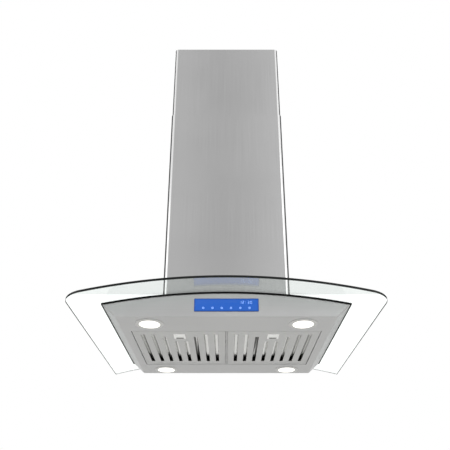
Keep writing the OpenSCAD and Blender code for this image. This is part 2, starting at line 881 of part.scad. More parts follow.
// Half disc on the damper pin; side 1 lies to the right, -1 to the left
module damper_flap(side) {
    starts = side > 0 ? [-58, 8] : [-28, 38];
    len = 20;
    color([0.75, 0.76, 0.77]) translate([0, 0, damper_z]) difference() {
        union() {
            translate([0, 0, -flap_t / 2]) linear_extrude(flap_t) intersection() {
                circle(r = flap_r, $fn = 120);
                translate([side > 0 ? flap_start : -flap_start - flap_r, -flap_r])
                    square([flap_r, 2 * flap_r]);
            }
            for (y = starts) {
                translate([0, y + len, 0]) rotate([90, 0, 0]) cylinder(h = len, r = knuckle_r, $fn = 40);
                translate([side > 0 ? 0 : -flap_start - 1, y, -flap_t / 2])
                    cube([flap_start + 1, len, flap_t]);
            }
        }
        rotate([90, 0, 0]) cylinder(h = 3 * flap_r, r = pin_r + running, center = true, $fn = 40);
    }
}

// ---------- grease filters ----------

module at_filter(side) {
    translate([side * filter_x, 0, bottom_z]) children();
}

function slot_x(i) = (i - (slot_count - 1) / 2) * slot_pitch;

// The two slots under the latch are shorter, and their neighbours a little
function slot_start(i) = let (near = abs(slot_x(i)) / slot_pitch)
    near < 1 ? latch_front + latch_len + 21 : near < 2 ? slot_front + 19 : slot_front;

module filter_face(side) {
    bar_pin = filter_gap + bar_t / 2 - 0.2;
    shell_pin = 3;
    color(steel) at_filter(side) difference() {
        union() {
            translate([-filter_w / 2, -filter_d / 2, 0]) cube([filter_w, filter_d, face_t]);
            linear_extrude(filter_h) difference() {
                square([filter_w, filter_d], center = true);
                square([filter_w - 2 * face_t, filter_d - 2 * face_t], center = true);
            }
            for (sx = [-1, 1]) {
                len = sx == side ? shell_pin : bar_pin;
                translate([sx * (filter_w + len) / 2, hinge_y, hinge_in]) rotate([0, 90, 0])
                    cylinder(h = len, r = trunnion_r, center = true, $fn = fine);
            }
            translate([-latch_w / 2, latch_front, face_t]) cube([latch_w, 3, 0.8]);
        }
        for (i = [0:slot_count - 1]) translate([slot_x(i) - slot_w / 2, slot_start(i), -past])
            cube([slot_w, slot_back - slot_start(i), face_t + 2 * past]);
        translate([-finger_w / 2, finger_y, -past]) cube([finger_w, finger_l, 3]);
        translate([-latch_slide_w / 2 - 0.5, -filter_d / 2 - past, 1.9]) cube([latch_slide_w + 1, 3, 2.6]);
    }
}

// A channel that opens downwards, its sides splayed
module channel(len) {
    top = channel_w / 2;
    foot = channel_foot / 2;
    rotate([-90, 0, 0]) linear_extrude(len) polygon([
        [-top, 0], [top, 0], [foot, channel_h], [foot - 1, channel_h],
        [top - 0.4, channel_t], [0.4 - top, channel_t], [1 - foot, channel_h], [-foot, channel_h],
    ]);
}

// Inner layer: one channel over each slot, held by two cross strips
module filter_inner(side) {
    front = -filter_d / 2 + 12;
    back = filter_d / 2 - 20;
    color([0.66, 0.66, 0.66]) at_filter(side) {
        for (i = [0:slot_count - 1]) {
            start = max(front, slot_start(i) - 12);
            translate([slot_x(i), start, channel_z]) channel(back - start);
        }
        for (y = [latch_front + latch_len + 17, back - 14])
            translate([-filter_w / 2 + face_t, y, channel_z]) cube([filter_w - 2 * face_t, 14, 1]);
    }
}

// Sliding catch behind the finger hole; its tongue looks out of the front rim
module filter_latch(side) {
    color(steel) at_filter(side) translate([0, 0, catch_z]) {
        translate([-latch_slide_w / 2, -filter_d / 2 + 0.2, 0])
            cube([latch_slide_w, latch_slide_end + filter_d / 2 - 0.2, 2]);
        translate([-finger_w / 2 + 1, finger_y + 0.5, -1.9]) cube([finger_w - 2, 1.4, 1.9]);
    }
}

// Coil spring behind the catch, along Y
module filter_spring(side) {
    turns = 5;
    steps = 12;
    wire = 0.5;
    pitch = 3;
    coil_r = spring_d / 2;
    coil = [
        for (i = [0:turns * steps]) let (a = 360 * i / steps)
            [coil_r * cos(a), pitch * i / steps, coil_r * sin(a)],
    ];
    color(dark_steel) at_filter(side)
        translate([0, latch_slide_end + wire + 0.2, catch_z + coil_r + wire]) sweep(coil, wire, 6, [0, 1, 0]);
}

// ---------- charcoal filters ----------

module at_charcoal(side) {
    translate([side * (inlet_face + 2), impeller_y, impeller_z]) rotate([0, side * 90, 0]) children();
}

module charcoal_case(side) {
    rim = 3;
    grille_t = 1.5;
    spokes = 12;
    color([0.1, 0.1, 0.1]) at_charcoal(side) difference() {
        union() {
            difference() {
                cylinder(h = charcoal_t, r = charcoal_r, $fn = 120);
                translate([0, 0, -past]) cylinder(h = charcoal_t + 2 * past, r = charcoal_r - rim, $fn = 120);
            }
            for (z = [0, charcoal_t - grille_t]) translate([0, 0, z]) {
                for (i = [0:spokes - 1]) rotate([0, 0, 360 * i / spokes])
                    translate([hub_r + 4, -1, 0]) cube([charcoal_r - rim - hub_r - 3, 2, grille_t]);
                for (r = [34, 50, 66]) difference() {
                    cylinder(h = grille_t, r = r + 1, $fn = 96);
                    translate([0, 0, -past]) cylinder(h = grille_t + 2 * past, r = r - 1, $fn = 96);
                }
            }
            cylinder(h = charcoal_t, r = hub_r + 6, $fn = fine);
        }
        translate([0, 0, -past]) cylinder(h = charcoal_t + 2 * past, r = hub_r + running, $fn = fine);
    }
}

module charcoal_media(side) {
    color([0.16, 0.16, 0.17]) at_charcoal(side) translate([0, 0, 1.5]) difference() {
        cylinder(h = charcoal_t - 3, r = charcoal_r - 3, $fn = 96);
        translate([0, 0, -past]) cylinder(h = charcoal_t, r = hub_r + 6, $fn = fine);
    }
}

ceiling_plate();
upper_frame();
frame_bolts();
upper_chimney();
chimney_screws();
lower_frame();
foot_bolts();
height_bolts();
motor_box();
clamp_screws();
edge_seal();
glass_canopy();
body_seal();
top_plate();
hood_shell();
centre_bar();
control_lens();
display_module();
control_housing();
led_driver();
wiring_harness();
for (spot = light_spots) {
    light_bezel(spot[1]);
    light_lens(spot[1]);
    light_lamp(spot[1]);
}
scroll_half(-1);  // scroll_left
scroll_half(1);  // scroll_right
inlet_ring(-1);  // inlet_left
inlet_ring(1);  // inlet_right
motor();
capacitor();
power_box();
cable_gland();
outlet_collar();
damper_pin();
lower_chimney();
impeller();
motor_shaft();
damper_flap(-1);  // damper_flap_left
damper_flap(1);  // damper_flap_right
filter_face(-1);  // filter_left_face
filter_inner(-1);  // filter_left_inner
filter_latch(-1);  // filter_left_latch
filter_spring(-1);  // filter_left_spring
filter_face(1);  // filter_right_face
filter_inner(1);  // filter_right_inner
filter_latch(1);  // filter_right_latch
filter_spring(1);  // filter_right_spring
charcoal_case(-1);  // charcoal_left_case
charcoal_media(-1);  // charcoal_left_media
charcoal_case(1);  // charcoal_right_case
charcoal_media(1);  // charcoal_right_media
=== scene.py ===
# Island range hood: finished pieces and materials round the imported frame.
# Metres, +Z up, front towards -Y, origin on the ceiling.
import json
import math

import bpy
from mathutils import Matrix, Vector

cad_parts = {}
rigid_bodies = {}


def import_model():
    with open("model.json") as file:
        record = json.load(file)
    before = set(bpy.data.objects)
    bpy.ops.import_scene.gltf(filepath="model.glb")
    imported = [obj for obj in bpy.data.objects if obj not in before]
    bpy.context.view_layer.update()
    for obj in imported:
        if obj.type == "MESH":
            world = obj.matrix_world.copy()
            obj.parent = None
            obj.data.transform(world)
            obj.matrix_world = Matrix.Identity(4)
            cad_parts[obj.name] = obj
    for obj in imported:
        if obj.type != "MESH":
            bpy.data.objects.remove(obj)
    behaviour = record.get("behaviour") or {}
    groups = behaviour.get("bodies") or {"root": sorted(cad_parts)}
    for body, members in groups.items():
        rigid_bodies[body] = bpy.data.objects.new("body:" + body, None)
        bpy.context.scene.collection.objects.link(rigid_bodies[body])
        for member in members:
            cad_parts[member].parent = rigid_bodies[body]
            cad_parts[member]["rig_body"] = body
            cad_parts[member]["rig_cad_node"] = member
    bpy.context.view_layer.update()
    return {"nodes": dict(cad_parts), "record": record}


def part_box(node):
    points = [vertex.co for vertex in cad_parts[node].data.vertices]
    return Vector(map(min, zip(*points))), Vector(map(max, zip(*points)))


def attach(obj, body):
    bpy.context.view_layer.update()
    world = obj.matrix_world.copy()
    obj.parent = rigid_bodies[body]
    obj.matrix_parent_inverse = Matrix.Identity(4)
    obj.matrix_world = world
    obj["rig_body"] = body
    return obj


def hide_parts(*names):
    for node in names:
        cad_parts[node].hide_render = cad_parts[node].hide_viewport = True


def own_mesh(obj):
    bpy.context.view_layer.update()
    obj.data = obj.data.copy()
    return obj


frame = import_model()
nodes = frame["nodes"]
bodyOf = {n: body for body, names in frame["record"]["behaviour"]["bodies"].items() for n in names}
mm = 0.001


# ---- working helpers ----

def takeUp(piece):
    # one piece selected alone and active, in object mode
    if bpy.context.object and bpy.context.object.mode != "OBJECT":
        bpy.ops.object.mode_set(mode="OBJECT")
    bpy.ops.object.select_all(action="DESELECT")
    piece.select_set(True)
    bpy.context.view_layer.objects.active = piece
    return piece


def settle(piece):
    # place and size go into the mesh, the object stays at the origin
    takeUp(piece)
    bpy.ops.object.transform_apply(location=True, rotation=True, scale=True)
    return piece


def addBox(name, low, high):
    low, high = Vector(low), Vector(high)
    bpy.ops.object.select_all(action="DESELECT")
    bpy.ops.mesh.primitive_cube_add(size=1, location=(low + high) / 2)
    piece = bpy.context.object
    piece.name = name
    piece.scale = high - low
    return settle(piece)


def addRod(name, centre, radius, length, axis="Z", vertices=64):
    turn = {"X": (0, math.pi / 2, 0), "Y": (math.pi / 2, 0, 0), "Z": (0, 0, 0)}[axis]
    bpy.ops.object.select_all(action="DESELECT")
    bpy.ops.mesh.primitive_cylinder_add(vertices=vertices, radius=radius, depth=length,
                                        location=centre, rotation=turn)
    piece = bpy.context.object
    piece.name = name
    return settle(piece)


def applyAll(piece):
    takeUp(piece)
    for modifier in list(piece.modifiers):
        bpy.ops.object.modifier_apply(modifier=modifier.name)
    return piece


def combine(piece, tool, operation="DIFFERENCE"):
    # cuts, joins or keeps the overlap, and throws the tool away
    modifier = piece.modifiers.new("combine", "BOOLEAN")
    modifier.operation = operation
    modifier.solver = "EXACT"
    modifier.object = tool
    applyAll(piece)
    bpy.data.objects.remove(tool)
    return piece


def roundEdges(piece, width, segments=2, angle=35):
    modifier = piece.modifiers.new("edge", "BEVEL")
    modifier.width = width
    modifier.segments = segments
    modifier.limit_method = "ANGLE"
    modifier.angle_limit = math.radians(angle)
    return applyAll(piece)


def editEdges(piece, wanted):
    # edit mode with only the edges whose two ends pass the test
    takeUp(piece)
    bpy.ops.object.mode_set(mode="EDIT")
    bpy.ops.mesh.select_mode(type="EDGE")
    bpy.ops.mesh.select_all(action="DESELECT")
    bpy.ops.object.mode_set(mode="OBJECT")
    points = piece.data.vertices
    for edge in piece.data.edges:
        edge.select = wanted(points[edge.vertices[0]].co, points[edge.vertices[1]].co)
    bpy.ops.object.mode_set(mode="EDIT")


def editFaces(piece, wanted):
    # edit mode with only the faces that pass the test
    takeUp(piece)
    bpy.ops.object.mode_set(mode="EDIT")
    bpy.ops.mesh.select_mode(type="FACE")
    bpy.ops.mesh.select_all(action="DESELECT")
    bpy.ops.object.mode_set(mode="OBJECT")
    for face in piece.data.polygons:
        face.select = wanted(face)
    bpy.ops.object.mode_set(mode="EDIT")


def bevelPicked(piece, width, segments):
    bpy.ops.mesh.bevel(offset=width, segments=segments, affect="EDGES")
    bpy.ops.object.mode_set(mode="OBJECT")
    return piece


def smooth(piece, angle=35):
    # large faces keep their own direction, only the small ones between them turn
    takeUp(piece)
    bpy.ops.object.shade_smooth_by_angle(angle=math.radians(angle))
    weighted = piece.modifiers.new("weighted", "WEIGHTED_NORMAL")
    weighted.keep_sharp = True
    weighted.weight = 80
    return applyAll(piece)


def joinUp(name, pieces):
    takeUp(pieces[0])
    for other in pieces[1:]:
        other.select_set(True)
    if len(pieces) > 1:
        bpy.ops.object.join()
    piece = bpy.context.object
    piece.name = name
    return piece


def finishPiece(piece, material, node):
    # the piece stands for a CAD node: same body, same finish slot
    piece.data.materials.clear()
    piece.data.materials.append(material)
    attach(piece, bodyOf[node])
    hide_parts(node)
    return piece


def refine(node, material, edge=0.0, angle=35):
    # a merged copy of a CAD node with its flat faces made whole, edges eased and curves smooth
    piece = nodes[node].copy()
    piece.data = nodes[node].data.copy()
    piece.parent = None
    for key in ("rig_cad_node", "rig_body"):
        if key in piece:
            del piece[key]
    bpy.context.collection.objects.link(piece)
    words = node.split("_")
    piece.name = words[0] + "".join(w.capitalize() for w in words[1:])
    takeUp(piece)
    bpy.ops.object.mode_set(mode="EDIT")
    bpy.ops.mesh.select_all(action="SELECT")
    bpy.ops.mesh.remove_doubles(threshold=0.00001)
    if edge:
        bpy.ops.mesh.dissolve_limited(angle_limit=math.radians(0.5))
    bpy.ops.object.mode_set(mode="OBJECT")
    if edge:
        roundEdges(piece, edge, 2, 50)
    smooth(piece, angle)
    return finishPiece(piece, material, node)


# ---- finishes ----

def srgb(code):
    channels = [int(code[i:i + 2], 16) / 255 for i in (1, 3, 5)]
    return tuple(c / 12.92 if c <= 0.04045 else ((c + 0.055) / 1.055) ** 2.4 for c in channels) + (1.0,)


def addNode(tree, kind, settings=None, links=None):
    node = tree.nodes.new(kind)
    for key, value in (settings or {}).items():
        if isinstance(key, int) or key in node.inputs:
            node.inputs[key].default_value = value
        else:
            setattr(node, key, value)
    for key, source in (links or {}).items():
        tree.links.new(source, node.inputs[key])
    return node


def newFinish(name, settings):
    material = bpy.data.materials.new(name)
    material.use_nodes = True
    tree = material.node_tree
    shader = tree.nodes["Principled BSDF"]
    for key, value in settings.items():
        shader.inputs[key].default_value = value
    return material, tree, shader


def ramp(tree, source, stops):
    node = addNode(tree, "ShaderNodeValToRGB", links={"Fac": source})
    points = node.color_ramp.elements
    while len(points) < len(stops):
        points.new(0.5)
    for point, (place, colour) in zip(points, stops):
        point.position = place
        point.color = colour
    return node


def grey(v):
    return (v, v, v, 1)


def brushedStainless(name, grain, light="#C6C6C6", dark="#BABABA", rough=(0.27, 0.36), lines=0.03):
    # 304 stainless with a No. 4 belt finish: fine parallel scratches that draw reflections out
    # across the grain.
    # Real scratches are about 0.1 mm apart; they are drawn 0.8 mm apart so that they still show.
    material, tree, shader = newFinish(name, {"Metallic": 1.0})
    across = 1 / (0.8 * mm)
    along = 1 / (260 * mm)
    stretch = [along if axis == grain else across for axis in "XYZ"]
    place = addNode(tree, "ShaderNodeTexCoord")
    scaled = addNode(tree, "ShaderNodeMapping", {"Scale": stretch}, {"Vector": place.outputs["Object"]})
    scratch = addNode(tree, "ShaderNodeTexNoise", {"Scale": 1.0, "Detail": 3.0, "Roughness": 0.6},
                      {"Vector": scaled.outputs["Vector"]})
    cloud = addNode(tree, "ShaderNodeTexNoise", {"Scale": 5.0, "Detail": 2.0},
                    {"Vector": place.outputs["Object"]})
    both = addNode(tree, "ShaderNodeMix", {"data_type": "FLOAT", "Factor": 0.35},
                   {2: scratch.outputs["Fac"], 3: cloud.outputs["Fac"]})
    tone = ramp(tree, both.outputs[0], [(0.3, srgb(dark)), (0.7, srgb(light))])
    dull = ramp(tree, both.outputs[0], [(0.3, grey(rough[0])), (0.7, grey(rough[1]))])
    relief = addNode(tree, "ShaderNodeBump", {"Strength": lines, "Distance": 0.2 * mm},
                     {"Height": scratch.outputs["Fac"]})
    tree.links.new(tone.outputs["Color"], shader.inputs["Base Color"])
    tree.links.new(dull.outputs["Color"], shader.inputs["Roughness"])
    tree.links.new(relief.outputs["Normal"], shader.inputs["Normal"])
    return material


def speckled(name, settings, light, dark, grain, bump=0.0, rough=None):
    # one finish whose colour wanders between two tones at a grain size given in metres
    material, tree, shader = newFinish(name, settings)
    place = addNode(tree, "ShaderNodeTexCoord")
    spots = addNode(tree, "ShaderNodeTexNoise", {"Scale": 1 / grain, "Detail": 4.0, "Roughness": 0.6},
                    {"Vector": place.outputs["Object"]})
    tone = ramp(tree, spots.outputs["Fac"], [(0.35, srgb(dark)), (0.65, srgb(light))])
    tree.links.new(tone.outputs["Color"], shader.inputs["Base Color"])
    if rough:
        dull = ramp(tree, spots.outputs["Fac"], [(0.3, grey(rough[0])), (0.7, grey(rough[1]))])
        tree.links.new(dull.outputs["Color"], shader.inputs["Roughness"])
    if bump:
        relief = addNode(tree, "ShaderNodeBump", {"Strength": bump, "Distance": 0.3 * mm},
                         {"Height": spots.outputs["Fac"]})
        tree.links.new(relief.outputs["Normal"], shader.inputs["Normal"])
    return material


def galvanisedSheet():
    # hot-dip zinc on steel: flat crystals some 8 mm across, each a slightly different grey
    material, tree, shader = newFinish("galvanisedSheet", {"Metallic": 1.0})
    place = addNode(tree, "ShaderNodeTexCoord")
    spangle = addNode(tree, "ShaderNodeTexVoronoi", {"Scale": 1 / (8 * mm)},
                      {"Vector": place.outputs["Object"]})
    tone = ramp(tree, spangle.outputs["Color"], [(0.2, srgb("#9EA2A5")), (0.8, srgb("#C0C4C6"))])
    dull = ramp(tree, spangle.outputs["Color"], [(0.0, grey(0.32)), (1.0, grey(0.5))])
    tree.links.new(tone.outputs["Color"], shader.inputs["Base Color"])
    tree.links.new(dull.outputs["Color"], shader.inputs["Roughness"])
    return material


def litGlass(name, centre, half):
    # blue back-lit display glass: brighter in the middle, a dark frame line at its rim
    material, tree, shader = newFinish(name, {"Base Color": srgb("#0A1D42"), "Roughness": 0.1,
                                              "Specular IOR Level": 0.35, "Emission Strength": 0.8})
    place = addNode(tree, "ShaderNodeTexCoord")
    local = addNode(tree, "ShaderNodeMapping", {"Location": [-c for c in centre]},
                    {"Vector": place.outputs["Object"]})
    axes = addNode(tree, "ShaderNodeSeparateXYZ", links={"Vector": local.outputs["Vector"]})
    sides = []
    for axis, size in (("X", half[0]), ("Z", half[1])):
        away = addNode(tree, "ShaderNodeMath", {"operation": "ABSOLUTE"}, {0: axes.outputs[axis]})
        left = addNode(tree, "ShaderNodeMath", {"operation": "SUBTRACT", 0: size}, {1: away.outputs[0]})
        sides.append(left.outputs[0])
    nearest = addNode(tree, "ShaderNodeMath", {"operation": "MINIMUM"}, {0: sides[0], 1: sides[1]})
    inwards = addNode(tree, "ShaderNodeMath", {"operation": "MULTIPLY", 1: 1 / (6 * mm)},
                      {0: nearest.outputs[0]})
    glow = ramp(tree, inwards.outputs[0],
                [(0.0, srgb("#16386F")), (0.25, srgb("#1F58B8")), (0.8, srgb("#2468D2"))])
    tree.links.new(glow.outputs["Color"], shader.inputs["Emission Color"])
    return material


def makeFinishes():
    f = {}
    f["chimneySteel"] = brushedStainless("brushedStainlessUpright", "Z", rough=(0.13, 0.18), lines=0.02)
    f["bodySteel"] = brushedStainless("brushedStainlessLengthwise", "X", rough=(0.3, 0.4))
    # the catch plates are stamped from bright annealed sheet; their shine is partly that polish and partly a
    # painted highlight in the near-white colour
    f["latchSteel"] = brushedStainless("brightAnnealedSteelPaintedHighlight", "X", "#FAFAF8", "#F2F2F0", (0.2, 0.26), 0.01)
    f["baffleSteel"] = brushedStainless("satinStainlessBaffle", "Y", "#C6C6C5", "#BCBCBB", (0.3, 0.42))
    # the same stainless as the baffle face, painted much brighter: a painted highlight for the channel webs
    # lit from below through the slots
    f["channelSteelPaintedLit"] = brushedStainless("satinStainlessPaintedLitChannel", "Y", "#F0F0EE", "#E6E6E4", (0.16, 0.22))
    f["bezelSteel"] = brushedStainless("satinStainlessTurned", "X", "#CFCFCD", "#C2C2C0", (0.22, 0.3), 0.02)
    f["zincSheet"] = galvanisedSheet()
    # electroplated zinc on steel screws: bright, slightly blue
    f["zincPlate"] = speckled("zincPlatedSteel", {"Metallic": 1.0, "Roughness": 0.3},
                              "#C9CCD0", "#A9ADB2", 2 * mm)
    # soda-lime float glass, toughened: almost colourless, a little green through its thickness
    f["clearGlass"] = newFinish("toughenedGlass", {"Base Color": srgb("#F7FCFA"), "Roughness": 0.0,
                                                   "Transmission Weight": 1.0, "IOR": 1.5})[0]
    # the glass rim faces painted near black: a painted dark reflection standing in for how the ground edge
    # refracts its surroundings
    f["glassEdge"] = speckled("glassRimPaintedDarkRefraction", {"Roughness": 0.3, "Specular IOR Level": 0.25},
                              "#0E1312", "#050807", 4 * mm)
    # EPDM rubber profile: matt black with a slight bloom
    f["rubber"] = speckled("epdmRubber", {"Roughness": 0.7, "Specular IOR Level": 0.2},
                           "#0D0D0D", "#060606", 3 * mm, 0.05)
    # ABS with a fine spark-eroded texture
    f["blackPlastic"] = speckled("blackAbs", {"Roughness": 0.5}, "#1E1F21", "#141517", 1 * mm, 0.15)
    f["whitePlastic"] = speckled("whiteAbs", {"Roughness": 0.45}, "#E8E7E2", "#DBDAD4", 1 * mm, 0.1)
    # polypropylene blower mouldings, dark grey
    f["scrollPlastic"] = speckled("greyPolypropylene", {"Roughness": 0.42},
                                  "#3E4144", "#303336", 1.5 * mm, 0.12)
    # black baked enamel over a steel can
    f["motorEnamel"] = speckled("bakedEnamel", {"Roughness": 0.3, "Coat Weight": 0.5},
                                "#1B1C1E", "#101113", 6 * mm)
    f["shaftSteel"] = speckled("groundSteel", {"Metallic": 1.0},
                               "#D5D6D8", "#BFC1C4", 2 * mm, 0.0, (0.12, 0.25))
    # mill-finish aluminium: soft, pale, faintly clouded
    f["aluminium"] = speckled("millAluminium", {"Metallic": 1.0},
                              "#DADCDE", "#C3C6C9", 12 * mm, 0.03, (0.3, 0.45))
    f["wire"] = speckled("pvcSleeve", {"Roughness": 0.4}, "#D9D8D2", "#C8C7C0", 5 * mm)
    f["board"] = speckled("circuitBoard", {"Roughness": 0.35, "Coat Weight": 0.3},
                          "#1F5B36", "#123D22", 3 * mm)
    f["charcoalCase"] = speckled("blackPolypropylene", {"Roughness": 0.45}, "#1C1C1D", "#111112", 1 * mm, 0.1)
    # activated charcoal granules, 2 to 3 mm
    f["charcoal"] = speckled("charcoalGranules", {"Roughness": 0.75}, "#3A3A3B", "#0A0A0A", 2.5 * mm, 0.9)
    # opal polycarbonate over warm white diodes
    f["lampLens"] = speckled("opalLens", {"Roughness": 0.35, "Emission Color": srgb("#FFFDF6"),
                                          "Emission Strength": 1.15}, "#FFFFFC", "#F6F3EA", 3 * mm)
    f["iconLight"] = newFinish("iconLight", {"Base Color": srgb("#9CC2FF"), "Roughness": 0.3,
                                             "Emission Color": srgb("#8FB8FF"), "Emission Strength": 0.8})[0]
    return f


finishes = makeFinishes()
print("finishes made:", len(finishes))


# ---- camera, light and floor ----

shot = {"ahead": 1.4284, "down": 1.4515, "pitch": 22.97, "lens": 42.63, "shiftX": -0.0031, "shiftY": 0.1813}


def setCamera():
    bpy.ops.object.select_all(action="DESELECT")
    bpy.ops.object.camera_add(location=(0, -shot["ahead"], -shot["down"]),
                              rotation=(math.radians(90 + shot["pitch"]), 0, 0))
    camera = bpy.context.object
    camera.name = "camera"
    camera.data.lens = shot["lens"]
    camera.data.sensor_width = 36
    camera.data.shift_x = shot["shiftX"]
    camera.data.shift_y = shot["shiftY"]
    bpy.context.scene.camera = camera


studio = {
    "floorZ": -2.4,
    "lamps": [
        # name, place, aimed at, width, height, watts
        ("keyRight", (1.9, -2.6, 0.6), (0, 0, -0.5), 1.2, 2.2, 12),
        ("fillLeft", (-2.4, -2.2, 0.3), (0, 0, -0.5), 1.4, 2.0, 10),
        ("overhead", (0, 0.2, 2.2), (0, 0, 0), 3.0, 3.0, 24),
        ("back", (0, 3.2, -0.2), (0, 0, -0.6), 3.0, 1.6, 6),
    ],
    # brightness of the surroundings by compass direction, in degrees from straight ahead of the hood
    "round": [(-180, 0.8), (-150, 0.75), (-142, 0.12), (-82, 0.12), (-76, 1.5), (-20, 1.45),
              (-14, 0.84), (-4, 0.78), (-1, 0.66), (4, 0.78), (12, 0.98),
              (20, 1.6), (76, 1.6), (82, 0.12), (142, 0.12), (150, 0.75), (180, 0.8)],
    # and by height, from straight down to straight up
    "upward": [(0.0, 0.72), (0.5, 0.78), (0.56, 0.7), (1.0, 0.8)],
    "band": (0.06, 0.2, 0.75, 0.95),
}


def addRoundLight(tree, axes, base):
    # soft boxes and dark gaps round the hood, in a band above the horizon
    ahead = addNode(tree, "ShaderNodeMath", {"operation": "MULTIPLY", 1: -1.0}, {0: axes.outputs["Y"]})
    angle = addNode(tree, "ShaderNodeMath", {"operation": "ARCTAN2"},
                    {0: axes.outputs["X"], 1: ahead.outputs[0]})
    turn = addNode(tree, "ShaderNodeMapRange", {1: -math.pi, 2: math.pi}, {0: angle.outputs[0]})
    ring = ramp(tree, turn.outputs[0], [((d + 180) / 360, grey(v)) for d, v in studio["round"]])
    start, full, fade, end = studio["band"]
    band = ramp(tree, axes.outputs["Z"], [(start, grey(0)), (full, grey(1)), (fade, grey(1)), (end, grey(0))])
    return addNode(tree, "ShaderNodeMix", {"data_type": "RGBA"},
                   {0: band.outputs["Color"], 6: base.outputs["Color"], 7: ring.outputs["Color"]})


def setWorld():
    # white to the eye and through the glass; grey surroundings for everything that is lit or reflects
    world = bpy.data.worlds.new("studio")
    bpy.context.scene.world = world
    world.use_nodes = True
    tree = world.node_tree
    place = addNode(tree, "ShaderNodeTexCoord")
    axes = addNode(tree, "ShaderNodeSeparateXYZ", links={"Vector": place.outputs["Generated"]})
    height = addNode(tree, "ShaderNodeMapRange", {1: -1.0, 2: 1.0}, {0: axes.outputs["Z"]})
    base = ramp(tree, height.outputs[0], [(h, grey(v)) for h, v in studio["upward"]])
    room = addRoundLight(tree, axes, base)
    ray = addNode(tree, "ShaderNodeLightPath")
    seen = addNode(tree, "ShaderNodeMath", {"operation": "MAXIMUM"},
                   {0: ray.outputs["Is Camera Ray"], 1: ray.outputs["Is Transmission Ray"]})
    shown = addNode(tree, "ShaderNodeMix", {"data_type": "RGBA", 7: (1, 1, 1, 1)},
                    {0: seen.outputs[0], 6: room.outputs[2]})
    tree.links.new(shown.outputs[2], tree.nodes["Background"].inputs["Color"])
    bpy.context.scene.view_settings.view_transform = "Standard"


def setStudio():
    for name, place, target, width, height, watts in studio["lamps"]:
        bpy.ops.object.light_add(type="AREA", location=place)
        lamp = bpy.context.object
        lamp.name = name
        lamp.rotation_euler = (Vector(target) - Vector(place)).to_track_quat("-Z", "Y").to_euler()
        lamp.data.shape = "RECTANGLE"
        lamp.data.size = width
        lamp.data.size_y = height
        lamp.data.energy = watts
    bpy.ops.mesh.primitive_plane_add(size=24, location=(0, 0, studio["floorZ"]))
    floor = bpy.context.object
    floor.name = "floor"
    floor.data.materials.append(speckled("paleFloor", {"Roughness": 0.6}, "#F2F2F0", "#EDEDEB", 0.4))
    setWorld()


setCamera()
setStudio()
print("studio set")


# ---- glass canopy, seals and hood body ----

canopy = {"rise": 47 * mm, "glass": 6 * mm, "corner": 40 * mm, "seal": 4 * mm, "edge": 1.0 * mm,
          "sealBand": 12 * mm}
canopy["low"], canopy["high"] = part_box("glass_canopy")
canopy["radius"] = ((canopy["high"].x ** 2) + canopy["rise"] ** 2) / (2 * canopy["rise"])
canopy["axisZ"] = canopy["high"].z - canopy["radius"]
canopy["under"] = canopy["radius"] - canopy["glass"]
canopy["body"] = canopy["under"] - canopy["seal"]


def arch(radius):
    # a long round bar under a canopy surface, to shape pieces by
    return addRod("arch", (0, 0, canopy["axisZ"]), radius, 1.2, "Y", 1080)


def bendToArch(piece, inner, outer):
    combine(piece, arch(outer), "INTERSECT")
    return combine(piece, arch(inner))


def tallBox(name, halfX, halfY):
    return addBox(name, (-halfX, -halfY, canopy["high"].z - 0.12), (halfX, halfY, canopy["high"].z + 0.03))


def upright(a, b):
    return abs(a.x - b.x) < 1e-6 and abs(a.y - b.y) < 1e-6


def roundedBlock(name, halfX, halfY, radius, segments=8):
    piece = tallBox(name, halfX, halfY)
    editEdges(piece, upright)
    return bevelPicked(piece, radius, segments)


opening = {"half": (142 * mm, 130 * mm), "corner": 12 * mm, "web": 2 * mm}


def makeGlass():
    piece = tallBox("glassCanopy", canopy["high"].x, canopy["high"].y)
    editEdges(piece, lambda a, b: upright(a, b) and a.y < 0)
    bevelPicked(piece, canopy["corner"], 20)
    bendToArch(piece, canopy["under"], canopy["radius"])
    combine(piece, roundedBlock("cutOut", *opening["half"], opening["corner"]))
    roundEdges(piece, canopy["edge"], 3, 50)
    smooth(piece, 30)
    finishPiece(piece, finishes["clearGlass"], "glass_canopy")
    # the rim faces get the near-black painted refraction, not a colour of the glass itself
    piece.data.materials.append(finishes["glassEdge"])
    centre = Vector((0, 0, canopy["axisZ"]))
    for face in piece.data.polygons:
        out = face.center - centre
        out.y = 0
        rim = abs(face.normal.dot(out.normalized())) < 0.85
        face.material_index = 1 if rim else 0
    return piece


def makeSeals():
    low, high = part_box("body_seal")
    piece = tallBox("bodySeal", high.x, high.y)
    combine(piece, tallBox("inside", high.x - canopy["sealBand"], high.y - canopy["sealBand"]))
    bendToArch(piece, canopy["body"], canopy["under"])
    roundEdges(piece, 0.8 * mm, 2, 50)
    smooth(piece)
    finishPiece(piece, finishes["rubber"], "body_seal")
    refine("edge_seal", finishes["rubber"])


hood = {"halfFoot": 266 * mm, "sheet": 1.2 * mm, "fold": 3 * mm, "lip": 12 * mm, "lampHole": 31 * mm}
hood["low"], hood["high"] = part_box("hood_shell")
hood["opening"] = (244.5 * mm, 147.5 * mm)


def hoodForm(name, inset, fold):
    # a block with its ends sloped outwards; inset draws every wall in by one sheet
    halfTop, bottom = hood["high"].x, hood["low"].z
    endHeight = canopy["axisZ"] + math.sqrt(canopy["body"] ** 2 - halfTop ** 2) - bottom
    slope = (halfTop - hood["halfFoot"]) / endHeight
    height = 0.11
    halfX = hood["halfFoot"] - inset * math.hypot(1, slope) + slope * inset
    piece = addBox(name, (-halfX, hood["low"].y + inset, bottom + inset),
                   (halfX, hood["high"].y - inset, bottom + height))
    editFaces(piece, lambda face: face.normal.z > 0.9)
    bpy.ops.transform.resize(value=((halfX + slope * (height - inset)) / halfX, 1, 1))
    bpy.ops.object.mode_set(mode="OBJECT")
    editEdges(piece, lambda a, b: min(a.z, b.z) < bottom + 2 * inset + mm)
    return bevelPicked(piece, fold, 5)


